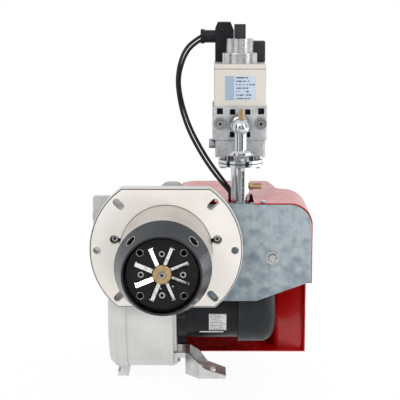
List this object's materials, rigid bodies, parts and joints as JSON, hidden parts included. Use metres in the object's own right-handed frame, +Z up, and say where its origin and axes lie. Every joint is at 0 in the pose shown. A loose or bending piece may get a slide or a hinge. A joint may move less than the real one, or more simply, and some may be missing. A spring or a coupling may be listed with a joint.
{
  "type": "gas burner",
  "caption": "Forced-draught gas burner with blast tube, sliding mounting flange, fan and motor, gas valve train and pull-off cover.",
  "frame": {"origin": "centre of the mounting flange's front face, on the blast tube's axis", "axes": "-Y the way the flame leaves, +Z up, +X to the right when looking at the flame end"},
  "size_m": [0.3183, 0.406, 0.523],
  "materials": {
    "cast_aluminium": "sand cast, light grey",
    "flange_cast": "machined casting, warm light",
    "dark_cast": "dark",
    "bright_steel": "bright zinc",
    "tube_steel": "bare rolled steel",
    "black_steel": "satin black",
    "plain_steel": "plain",
    "brass": "turned",
    "ceramic": "glazed white",
    "galvanised": "galvanised, spangled",
    "chrome": "polished",
    "red_plastic": "gloss red",
    "valve_cast": "die cast grey",
    "beige_plastic": "light beige",
    "silver_turned": "turned",
    "dark_plastic": "dark grey",
    "black_plastic": "black",
    "motor_black": "black enamel",
    "impeller_steel": "galvanised",
    "rubber": "black",
    "cap_grey": "grey",
    "button_red": "translucent red",
    "label": "printed film"
  },
  "bodies": {
    "burner": {"air_intake": "cast_aluminium", "air_switch": "dark_plastic", "bearings": "bright_steel", "blast_tube": "tube_steel", "body_screws": "bright_steel", "cable_gland": "black_plastic", "coil_housing": "beige_plastic", "control_box": "dark_plastic", "din_plug": "black_plastic", "duct_cap": "cap_grey", "fan_housing": "cast_aluminium", "flame_cone": "black_steel", "flange_gasket": "rubber", "flange_screws": "bright_steel", "foot_bracket": "cast_aluminium", "front_plate": "galvanised", "gas_manifold": "plain_steel", "gas_pipe": "chrome", "ignition_transformer": "dark_plastic", "lead_a": "rubber", "lead_b": "rubber", "motor_bell": "motor_black", "motor_cowl": "dark_plastic", "motor_shell": "motor_black", "nameplates": "label", "pipe_flanges": "chrome", "pressure_switch": "dark_plastic", "ring_cap": "silver_turned", "stator": "plain_steel", "terminal_block": "dark_plastic", "test_nipples": "brass", "tray": "galvanised", "union_nut": "chrome", "valve_base": "valve_cast", "valve_body": "valve_cast", "valve_elbow": "chrome", "valve_screws": "bright_steel"},
    "fan": {"impeller": "impeller_steel", "rotor_shaft": "bright_steel", "cooling_fan": "dark_plastic"},
    "flange": {"mounting_flange": "flange_cast", "clamp_ring": "dark_cast", "clamp_screws": "bright_steel"},
    "head": {"swirl_disc": "black_steel", "swirl_vanes": "bright_steel", "gas_head": "black_steel", "gas_nozzles": "bright_steel", "nozzle_cap": "brass", "cap_screw": "bright_steel", "gas_lance": "plain_steel", "head_rod": "bright_steel", "insulators": "ceramic", "electrodes": "bright_steel", "electrode_clamp": "plain_steel"},
    "damper": {"air_damper": "dark_plastic", "damper_knob": "dark_plastic"},
    "hood": {"cover": "red_plastic"},
    "button": {"reset_button": "button_red"},
    "adjuster": {"flow_adjuster": "silver_turned"},
    "knob": {"adjuster_knob": "dark_plastic"}
  },
  "joints": [
    {"name": "fan_spin", "type": "hinge", "parent": "burner", "child": "fan", "pos_m": [0, 0.12, -0.106], "axis": [1, 0, 0], "continuous": true},
    {"name": "flange_slide", "type": "slide", "parent": "burner", "child": "flange", "axis": [0, -1, 0], "range_m": [0, 0.08]},
    {"name": "head_slide", "type": "slide", "parent": "burner", "child": "head", "axis": [0, 1, 0], "range_m": [0, 0.015]},
    {"name": "damper_turn", "type": "hinge", "parent": "burner", "child": "damper", "pos_m": [-0.095, 0.1, 0.031], "axis": [1, 0, 0], "range_deg": [0, 90]},
    {"name": "cover_slide", "type": "slide", "parent": "burner", "child": "hood", "axis": [0, 1, 0], "range_m": [0, 0.2]},
    {"name": "button_press", "type": "slide", "parent": "burner", "child": "button", "axis": [0, -1, 0], "range_m": [0, 0.003], "stiffness_N_per_m": 800},
    {"name": "adjuster_turn", "type": "hinge", "parent": "burner", "child": "adjuster", "pos_m": [0.1048, 0.14, 0.27], "axis": [0, 0, 1], "range_deg": [-180, 180]},
    {"name": "knob_turn", "type": "hinge", "parent": "adjuster", "child": "knob", "pos_m": [0.1048, 0.14, 0.29], "axis": [0, 0, 1], "range_deg": [-180, 180]}
  ]
}
